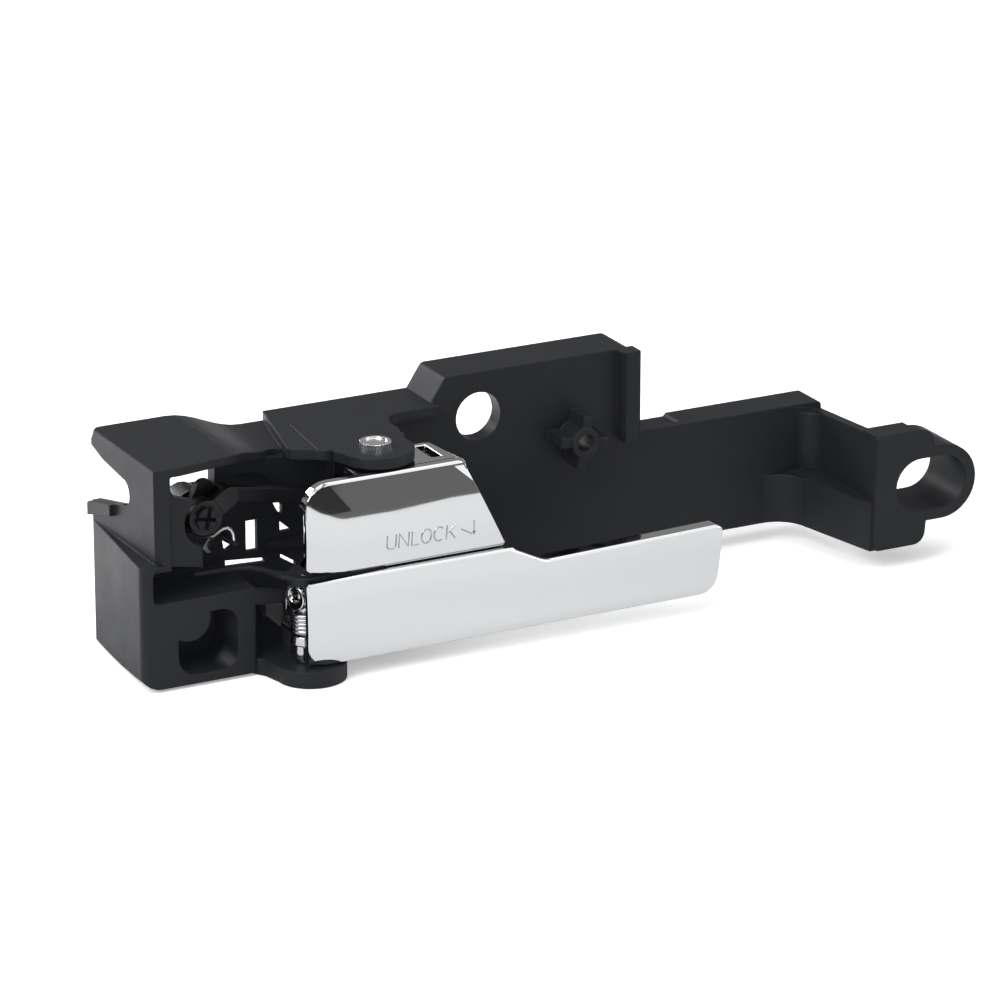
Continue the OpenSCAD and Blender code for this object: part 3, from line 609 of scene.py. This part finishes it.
def addLegFillet():
    size = legFillet
    reach, depth = size["reach"], size["depth"]
    corner, towards = Vector(size["corner"]), Vector(size["towards"])
    half = acos(-towards.x) / 2
    radius = reach * tan(half)
    first, last = corner - Vector((reach, 0)), corner + towards * reach
    arc = arcPoints(first.x, first.y - radius, radius, radius, 90, 90 - degrees(pi - 2 * half), 12)
    aside = Vector((-towards.y, towards.x)) * depth
    outline = arc + [last + aside, corner + Vector((depth, depth)), (first.x, first.y + depth)]
    extruded("leg_fillet", outline, lambda at, z: spot(at[0], at[1], z), size["foot"], size["ledge"])


addStripCorner()
addLegFillet()
print("moulding finished")

# Raised strokes on the lock lever's face, as widths across and heights up the letters
lockFace = {"front": -15.0, **chromeLook["lock"]}
letterStrokes = {
    "U": [[(0, 1)] + arcPoints(0.5, 0.3, 0.5, 0.3, 180, 360) + [(1, 1)]],
    "N": [[(0, 0), (0, 1), (1, 0), (1, 1)]],
    "L": [[(0, 1), (0, 0), (1, 0)]],
    "O": [arcPoints(0.5, 0.5, 0.5, 0.5, 90, 450, 24)],
    "C": [arcPoints(0.55, 0.5, 0.55, 0.5, 50, 310, 18)],
    "K": [[(0, 0), (0, 1)], [(1, 1), (0, 0.42)], [(0.3, 0.6), (1, 0)]],
}
unlockWord = {
    "letters": [
        ("U", 66.9, 2.9),
        ("N", 70.8, 3.1),
        ("L", 75.0, 2.4),
        ("O", 78.1, 3.2),
        ("C", 82.2, 2.9),
        ("K", 86.3, 2.9),
    ],
    "foot": 36.9,
    "height": 4.3,
    "slant": 0.06,
    "stroke": 0.23,
}
unlockArrow = {
    "strokes": [
        [(95.4, 41.3), (95.4, 37.1)],
        [(95.0, 38.1), (95.4, 37.0), (95.8, 38.1)],
        [(91.3, 39.3), (94.7, 37.3)],
    ],
    "stroke": 0.2,
}


def onLockFace(x, z):
    bulge = lockFace["bulge"]
    return spot(x, lockFace["front"] + bulge - sqrt(bulge ** 2 - (z - lockFace["middle"]) ** 2), z)


def sweptTubes(name, paths, radius, sides=8):
    # Round strokes with flat ends along the given points, joined in one mesh
    form = bmesh.new()
    turns = [2 * pi * k / sides for k in range(sides)]
    for path in paths:
        rings = []
        for i, point in enumerate(path):
            along = (path[min(i + 1, len(path) - 1)] - path[max(i - 1, 0)]).normalized()
            across = along.cross(Vector((0, 1, 0))).normalized()
            out = across.cross(along)
            ring = [point + radius * (across * cos(turn) + out * sin(turn)) for turn in turns]
            rings.append([form.verts.new(at) for at in ring])
        for ring, following in zip(rings, rings[1:]):
            for k in range(sides):
                form.faces.new((ring[k], ring[(k + 1) % sides], following[(k + 1) % sides], following[k]))
        for ring in (rings[0], rings[-1]):
            form.faces.new(ring)
    bmesh.ops.recalc_face_normals(form, faces=form.faces)
    return smoothMesh(form, name, sharpTurns["stroke"])


def addUnlockWord():
    word = unlockWord
    paths = []
    for letter, start, width in word["letters"]:
        for stroke in letterStrokes[letter]:
            points = []
            for across, up in stroke:
                rise = up * word["height"]
                aside = across * width + rise * word["slant"]
                points.append(onLockFace(start + aside, word["foot"] + rise))
            paths.append(points)
    mesh = sweptTubes("unlock_word", paths, word["stroke"] * mm)
    addPiece("unlock_word", mesh, "lock_lever", "lever_chrome", "letter_chrome_painted_dark")


def addUnlockArrow():
    paths = [[onLockFace(x, z) for x, z in stroke] for stroke in unlockArrow["strokes"]]
    mesh = sweptTubes("unlock_arrow", paths, unlockArrow["stroke"] * mm)
    addPiece("unlock_arrow", mesh, "lock_lever", "lever_chrome", "letter_chrome_painted_dark")


addUnlockWord()
addUnlockArrow()
print("word and arrow raised")

photoCamera = {
    "azimuth": -27.5,
    "elevation": 19.5,
    "distance": 1.6,
    "aim": (-0.0323, -0.0761, 0.0025),
    "lens": 201.6,
    "sensor": 36,
    "farthest": 50,
}


def addCamera(place):
    turn, rise = radians(place["azimuth"]), radians(place["elevation"])
    back = Vector((sin(turn) * cos(rise), -cos(turn) * cos(rise), sin(rise)))
    camera = bpy.data.objects.new("camera", bpy.data.cameras.new("camera"))
    camera.data.lens = place["lens"]
    camera.data.sensor_width = place["sensor"]
    camera.data.clip_end = place["farthest"]
    camera.location = Vector(place["aim"]) + back * place["distance"]
    camera.rotation_euler = back.to_track_quat("Z", "Y").to_euler()
    bpy.context.scene.collection.objects.link(camera)
    bpy.context.scene.camera = camera


addCamera(photoCamera)

studio = {
    "floorSize": 12.0,
    "floorGap": 0.0002,
    "floorColour": 0.86,
    "floorGlow": 0.34,
    "floorShine": 1.1,
    "shineEnds": (0.0, 0.12),
    "skyFill": 0.55,
    "skyShine": 0.3,
    "frontShine": 1.2,
    "frontRise": (0.32, 0.42),
    "frontDepth": (0.15, -0.1),
    "cardRadius": 0.33,
    "cardHeight": 0.16,
    "cardSweep": (-170, 160),
    "cardSteps": 24,
    "cardGreys": (0.05, 0.2),
    "cardParting": (0.055, 0.06),
    "lamps": {
        "left": {"at": (-1.1, -0.5, 1.0), "size": 0.9, "power": 21},
        "top": {"at": (0.1, 0.2, 1.5), "size": 1.4, "power": 8},
        "right": {"at": (1.3, -0.9, 0.8), "size": 0.8, "power": 5.5},
        "back": {"at": (-0.6, 1.3, 0.6), "size": 0.5, "power": 9},
    },
}


def paleFloor():
    paint = Paint("studio_floor")
    seen = paint.node("ShaderNodeLightPath", output="Is Camera Ray")
    shiny = paint.node("ShaderNodeLightPath", output="Is Glossy Ray")
    through = paint.node("ShaderNodeLightPath", output="Is Transmission Ray")
    grey = studio["floorColour"]
    cloud = paint.noise(paint.place(), 3.0)
    pale = paint.colours(cloud * 0.3, (grey, grey, grey), (grey * 0.99, grey * 0.99, grey))
    matte = paint.node("ShaderNodeBsdfDiffuse", None, {"Color": pale})
    behind = paint.steps(paint.parts(paint.place())[1], *studio["shineEnds"])
    strength = (seen + through) * studio["floorGlow"] + shiny * behind * studio["floorShine"]
    glow = paint.node("ShaderNodeEmission", None, {"Strength": strength})
    return paint.close(paint.node("ShaderNodeAddShader", None, {0: matte, 1: glow}))


def greyCard():
    paint = Paint("studio_card")
    side = paint.steps(paint.parts(paint.place())[0], *studio["cardParting"])
    dark, pale = studio["cardGreys"]
    glow = {"Color": (1, 1, 0.99, 1), "Strength": dark + side * (pale - dark)}
    return paint.close(paint.node("ShaderNodeEmission", None, glow))


def stagePiece(name, points, faces, material):
    mesh = bpy.data.meshes.new(name)
    mesh.from_pydata(points, [], faces)
    mesh.materials.append(material)
    piece = bpy.data.objects.new(name, mesh)
    bpy.context.scene.collection.objects.link(piece)
    piece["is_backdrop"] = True
    return piece


def addFloor():
    half = studio["floorSize"] / 2
    low = cadBox[0][2] - studio["floorGap"]
    corners = [(-half, -half, low), (half, -half, low), (half, half, low), (-half, half, low)]
    stagePiece("floor", corners, [(0, 1, 2, 3)], paleFloor())


def addCard():
    # A curved card in front that only the chrome mirrors
    low = cadBox[0][2]
    points = []
    (start, sweep), steps = studio["cardSweep"], studio["cardSteps"]
    for i in range(steps + 1):
        angle = radians(start + sweep * i / steps)
        x, y = studio["cardRadius"] * cos(angle), studio["cardRadius"] * sin(angle)
        points += [(x, y, low), (x, y, low + studio["cardHeight"])]
    faces = [(2 * i, 2 * i + 2, 2 * i + 3, 2 * i + 1) for i in range(steps)]
    card = stagePiece("card", points, faces, greyCard())
    card.visible_camera = False
    card.visible_diffuse = False
    card.visible_shadow = False


def addLamps():
    for name, lamp in studio["lamps"].items():
        light = bpy.data.lights.new(name, "AREA")
        light.energy = lamp["power"]
        light.size = lamp["size"]
        piece = bpy.data.objects.new(name, light)
        piece.location = lamp["at"]
        piece.rotation_euler = Vector(lamp["at"]).to_track_quat("Z", "Y").to_euler()
        bpy.context.scene.collection.objects.link(piece)


def addSky():
    # The camera sees white, chrome mirrors a dimmer sky with a bright front, and the fill lights all else
    paint = Paint("studio_sky", bpy.data.worlds)
    depth, height = paint.parts(paint.node("ShaderNodeTexCoord", output="Generated"))[1:]
    front = paint.steps(height, *studio["frontRise"]) * paint.steps(depth, *studio["frontDepth"])
    fill = {"Color": (0.96, 0.98, 1, 1), "Strength": studio["skyFill"]}
    shader = paint.node("ShaderNodeBackground", None, fill)
    shine = studio["skyShine"] + front * studio["frontShine"]
    for ray, strength in (("Is Glossy Ray", shine), ("Is Camera Ray", 1.0)):
        other = paint.node("ShaderNodeBackground", None, {"Color": (1, 1, 1, 1), "Strength": strength})
        seen = paint.node("ShaderNodeLightPath", output=ray)
        shader = paint.node("ShaderNodeMixShader", None, {0: seen, 1: shader, 2: other})
    bpy.context.scene.world = paint.close(shader, "ShaderNodeOutputWorld")


addFloor()
addCard()
addLamps()
addSky()
bpy.context.scene.view_settings.view_transform = "Standard"
print("studio set")

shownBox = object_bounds()
boxes = {"cad": cadBox, "visual": shownBox}
{name: [list(corner) for corner in box] for name, box in boxes.items()}
